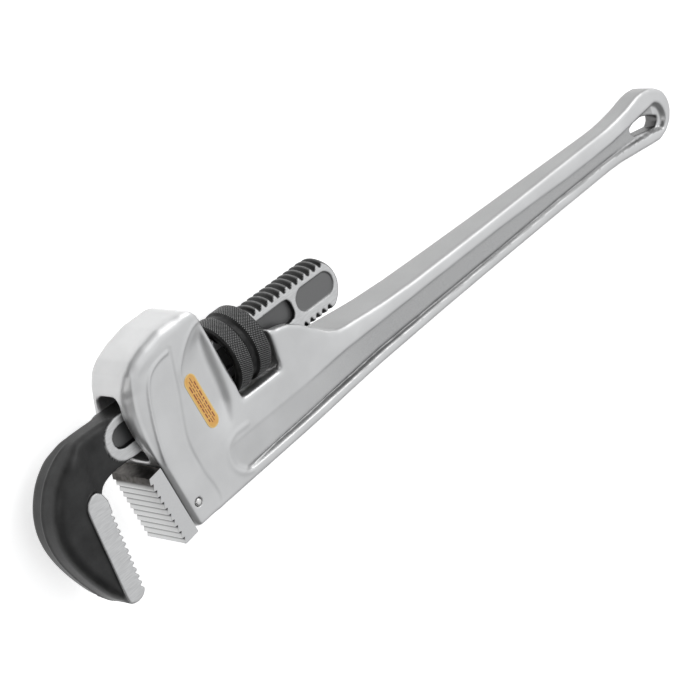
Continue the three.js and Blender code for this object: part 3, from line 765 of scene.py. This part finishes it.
# ---------------------------------------------------------- adjusting nut
def build_nut():
    x0, L, R = 75.5, 24.7, 21.1
    n_around = 98
    na = n_around * 6
    th = np.linspace(0, 2 * np.pi, na, endpoint=False)
    rows, peaks = [], []

    def knurl(x):
        px = 1.42
        a = (n_around * th / (2 * np.pi) + x / px)
        b = (n_around * th / (2 * np.pi) - x / px)
        ta = 1 - np.abs(2 * (a - np.floor(a)) - 1)
        tb_ = 1 - np.abs(2 * (b - np.floor(b)) - 1)
        return np.minimum(np.minimum(ta, tb_) * 1.25, 1.0)

    def add(x, r, k=0.0):
        if k:
            kn = knurl(x)
            rows.append((np.full(na, x), r - 0.48 * k * (1 - kn)))
            # Knurl peak mask for the painted highlight.
            peaks.append(kn * k)
        else:
            rows.append((np.full(na, x), np.full(na, float(r))))
            peaks.append(np.full(na, 0.0))
    add(0.0, 17.3)
    add(0.0, R - 1.3)
    add(0.25, R - 0.85)
    for x in np.linspace(1.0, 9.6, 42):
        edge = min(1.0, (x - 0.7) / 0.6, (9.9 - x) / 0.5)
        add(x, R - 0.5 * (1 - edge), 1.0)
    add(10.2, R - 0.8)
    add(10.7, R - 1.55)
    for x in (11.2, 12.5, 13.8):
        add(x, R - 1.7)
    add(14.4, R - 1.55)
    add(14.9, R - 0.8)
    for x in np.linspace(15.5, 23.7, 40):
        edge = min(1.0, (x - 15.2) / 0.5, (24.0 - x) / 0.6)
        add(x, R - 0.5 * (1 - edge), 1.0)
    add(24.45, R - 0.85)
    add(24.7, R - 1.3)
    add(24.7, 17.3)
    for x in np.linspace(24.3, 0.4, 50):
        xx = x0 + x
        phase = (xx - CREST_X) / PITCH - th / (2 * np.pi)
        w = np.clip(1.25 * np.cos(2 * np.pi * phase), -1, 1)
        lead = min(1.0, x / 1.6, (24.7 - x) / 1.6)
        rr = (R_MAJ + R_MIN) / 2 + w * (R_MAJ - R_MIN) / 2 + 0.5
        rows.append((np.full(na, x), rr * lead + 16.6 * (1 - lead)))
        peaks.append(np.full(na, 0.0))
    P = np.concatenate([np.stack([x0 + x, AXIS_Y + r * np.cos(th), r * np.sin(th)], 1) for x, r in rows])
    m = len(rows)
    i, j = np.meshgrid(np.arange(m), np.arange(na), indexing="ij")
    i2, j2 = (i + 1) % m, (j + 1) % na
    Q = np.stack([i * na + j, i * na + j2, i2 * na + j2, i2 * na + j], -1).reshape(-1, 4)
    ob = make_object("adjusting_nut_knurled", P, Q, mat_nut(), {"peak": np.concatenate(peaks)})
    return put(ob, "nut", "adjusting_nut")


# ---------------------------------------------------------- small pieces
def lathe(profile, n, centre, name, material):
    """Turned about Z at centre; the profile runs from axis to axis as (r, z)."""
    th = np.linspace(0, 2 * np.pi, n, endpoint=False)
    pts = [np.array([[centre[0], centre[1], profile[0][1]]])]
    for r, z in profile[1:-1]:
        pts.append(np.stack([centre[0] + r * np.cos(th), centre[1] + r * np.sin(th), np.full(n, z)], 1))
    pts.append(np.array([[centre[0], centre[1], profile[-1][1]]]))
    P = np.concatenate(pts)
    faces = []
    m = len(profile) - 2
    for j in range(n):
        faces.append((0, 1 + (j + 1) % n, 1 + j))
    for i in range(m - 1):
        for j in range(n):
            a, b = 1 + i * n + j, 1 + i * n + (j + 1) % n
            faces.append((a, b, b + n, a + n))
    last = len(P) - 1
    for j in range(n):
        faces.append((last, 1 + (m - 1) * n + j, 1 + (m - 1) * n + (j + 1) % n))
    me = make_object(name, P, np.array(faces, dtype=object), material)
    return me


def build_pin():
    prof = [(0, -17.15), (0.9, -17.12), (1.5, -17.0), (1.85, -16.75), (2.05, -16.4), (2.1, -16.0),
            (2.1, 16.0), (2.05, 16.4), (1.85, 16.75), (1.5, 17.0), (0.9, 17.12), (0, 17.15)]
    ob = lathe(prof, 40, (23.2, -10.9), "heel_jaw_pin_end", mat_pin())
    return put(ob, "frame", "heel_jaw_pin")


def sweep(path, section, name, material):
    """A closed section carried along a path in its own moving frame, with capped ends."""
    path = np.asarray(path, float)
    tan = np.gradient(path, axis=0)
    tan /= np.linalg.norm(tan, axis=1)[:, None]
    n = len(section)
    ref = np.array([0.0, 0.0, 1.0]) if abs(tan[0][2]) < 0.9 else np.array([1.0, 0, 0])
    P = []
    for p, t in zip(path, tan):
        b = np.cross(t, ref)
        b /= np.linalg.norm(b)
        ref = np.cross(b, t)
        P.append(p + section[:, :1] * b + section[:, 1:] * ref)
    P = np.concatenate(P)
    faces = []
    for i in range(len(path) - 1):
        for j in range(n):
            a, b = i * n + j, i * n + (j + 1) % n
            faces.append((a, b, b + n, a + n))
    faces.append(tuple(range(n))[::-1])
    e = (len(path) - 1) * n
    faces.append(tuple(e + k for k in range(n)))
    return make_object(name, P, np.array(faces, dtype=object), material)


def build_springs():
    m = mat_spring()
    t = np.linspace(0, 2 * np.pi * 5, 240)
    r = 4.5
    y = 8.8 + (23.2 - 8.8) * np.clip((t / t[-1] - 0.06) / 0.88, 0, 1)
    path = np.stack([38 + r * np.cos(t), y, r * np.sin(t)], 1)
    a = np.linspace(0, 2 * np.pi, 12, endpoint=False)
    coil = sweep(path, np.stack([0.8 * np.cos(a), 0.8 * np.sin(a)], 1), "coil_spring_wire", m)
    put(coil, "rocker", "coil_spring")
    xs_ = np.linspace(13.4, 65.6, 60)
    s = (xs_ - 13.4) / 52.2
    path = np.stack([xs_, 24.7 + 0.5 * np.sin(np.pi * s), np.zeros(60)], 1)
    hw, ht, r = 6.4, 0.42, 0.15
    sec = []
    for cx, cy, a0 in ((ht - r, hw - r, 0), (-(ht - r), hw - r, 90), (-(ht - r), -(hw - r), 180), (ht - r, -(hw - r), 270)):
        for k in range(4):
            q = math.radians(a0 + 30 * k)
            sec.append((cx + r * math.cos(q), cy + r * math.sin(q)))
    leaf = sweep(path, np.array(sec), "flat_spring_leaf", m)
    put(leaf, "rocker", "flat_spring")


def build_label():
    cx, cy, half, r, turn = 48.6, 35.4, 17.2, 4.6, math.pi / 2 + 0.17
    nu, nv = 120, 36
    rings = []
    us = np.linspace(-half, half, nu)
    w = np.sqrt(np.maximum(r * r - np.maximum(np.abs(us) - (half - r), 0) ** 2, 0.0))
    w = np.maximum(w, 0.02)
    U = np.repeat(us[:, None], nv, 1)
    V = w[:, None] * np.linspace(-1, 1, nv)[None]
    ct, st_ = math.cos(turn), math.sin(turn)
    Xl, Yl = cx + ct * U - st_ * V, cy + st_ * U + ct * V
    Z = rs.read(TH, Xl, Yl)
    top = np.stack([Xl, Yl, Z + 0.13], -1).reshape(-1, 3)
    bot = np.stack([Xl, Yl, Z + 0.01], -1).reshape(-1, 3)
    P = np.concatenate([top, bot])
    off = nu * nv
    i, j = np.meshgrid(np.arange(nu - 1), np.arange(nv - 1), indexing="ij")
    a = (i * nv + j).ravel()
    q = np.stack([a, a + nv, a + nv + 1, a + 1], 1)
    faces = [q, q[:, ::-1] + off]
    loop = [k * nv for k in range(nu)] + [(nu - 1) * nv + k for k in range(1, nv)] \
        + [k * nv + nv - 1 for k in range(nu - 2, -1, -1)] + [k for k in range(nv - 2, 0, -1)]
    loop = np.array(loop)
    nxt = np.roll(loop, -1)
    faces.append(np.stack([loop, loop + off, nxt + off, nxt], 1))
    Q = np.concatenate(faces)
    inset = np.minimum((w[:, None] - np.abs(V)), (half - np.abs(U)))
    edge = sstep(1.0, 0.6, inset)
    ink = np.zeros_like(U)
    rng = np.random.default_rng(7)
    for k, v0 in enumerate((-2.2, -0.75, 0.75, 2.2)):
        u0 = -half + 3.2 + (1.6 if abs(v0) > 2 else 0)
        while u0 < half - 3.6 - (1.6 if abs(v0) > 2 else 0):
            ln = rng.uniform(1.6, 4.2)
            ink = np.maximum(ink, (np.abs(V - v0) < 0.34) & (U > u0) & (U < u0 + ln))
            u0 += ln + rng.uniform(0.55, 0.9)
    masks = {"edge": np.concatenate([edge.ravel()] * 2), "ink": np.concatenate([ink.astype(float).ravel()] * 2)}
    ob = make_object("label_sticker", P, Q, mat_label(), masks)
    return put(ob, "frame", "label")


# ---------------------------------------------------------------- staging
def build_stage():
    s = 3.0
    me = bpy.data.meshes.new("stage_floor")
    me.from_pydata([(-s, -s, 0), (s, -s, 0), (s, s, 0), (-s, s, 0)], [], [(0, 1, 2, 3)])
    n = Nodes("floor_pale")
    col = n.ramp(n.noise(2.5, 2, 0.5), [(0.3, g(0.93)), (0.7, g(0.95))])
    me.materials.append(n.set(Base_Color=col, Roughness=0.9))
    n.b.inputs["Specular IOR Level"].default_value = 0.1
    n.b.inputs["Emission Color"].default_value = (1, 1, 1, 1)
    n.b.inputs["Emission Strength"].default_value = 0.62
    ob = bpy.data.objects.new("stage_floor", me)
    ob.location = (0, 0, -0.0008)
    bpy.context.scene.collection.objects.link(ob)

    w = bpy.data.worlds.new("studio")
    bpy.context.scene.world = w
    w.use_nodes = True
    t = w.node_tree
    bg = t.nodes["Background"]
    tc = t.nodes.new("ShaderNodeTexCoord")
    dot = t.nodes.new("ShaderNodeVectorMath")
    dot.operation = "DOT_PRODUCT"
    d = Vector((0.60, 0.20, 0.77)).normalized()
    dot.inputs[1].default_value = d
    t.links.new(tc.outputs["Generated"], dot.inputs[0])
    mr = t.nodes.new("ShaderNodeMapRange")
    mr.inputs["From Min"].default_value = 0.20
    mr.inputs["From Max"].default_value = 0.90
    mr.inputs["To Min"].default_value = 0.15
    mr.inputs["To Max"].default_value = 0.97
    t.links.new(dot.outputs["Value"], mr.inputs["Value"])
    t.links.new(mr.outputs["Result"], bg.inputs["Strength"])
    bg.inputs["Color"].default_value = (0.98, 0.99, 1.0, 1)

    def area(name, loc, target, size, power):
        li = bpy.data.lights.new(name, "AREA")
        li.shape = "RECTANGLE"
        li.size, li.size_y = size
        li.energy = power
        o = bpy.data.objects.new(name, li)
        o.location = loc
        o.rotation_euler = (Vector(target) - Vector(loc)).to_track_quat("-Z", "Y").to_euler()
        bpy.context.scene.collection.objects.link(o)
    area("key_soft", (0.95, 1.25, 0.80), (0.0, 0, 0.02), (0.5, 1.6), 6.5)
    area("left_fill", (-1.4, 0.5, 1.0), (-0.2, 0, 0), (0.7, 0.9), 2.5)

    cam = bpy.data.cameras.new("camera_photo")
    cam.sensor_fit = "HORIZONTAL"
    cam.sensor_width = 36.0
    cam.lens = 128.58
    cam.clip_start, cam.clip_end = 0.05, 30
    co = bpy.data.objects.new("camera_photo", cam)
    right = Vector((0.6477926, -0.3188088, 0.6919001))
    up = Vector((0.5002816, 0.8629668, -0.0707577))
    back = Vector((-0.5745286, 0.3919812, 0.7185177))
    m = Matrix((right, up, back)).transposed().to_4x4()
    m.translation = vec((-632.58232528, 541.34566381, 998.54533437))
    co.matrix_world = m
    bpy.context.scene.collection.objects.link(co)
    bpy.context.scene.camera = co
    vs = bpy.context.scene.view_settings
    vs.view_transform = "Standard"
    vs.look = "None"
    vs.exposure = 0.0
    vs.gamma = 1.0


build_handle()
build_hook()
build_heel()
build_nut()
build_pin()
build_springs()
build_label()
build_stage()
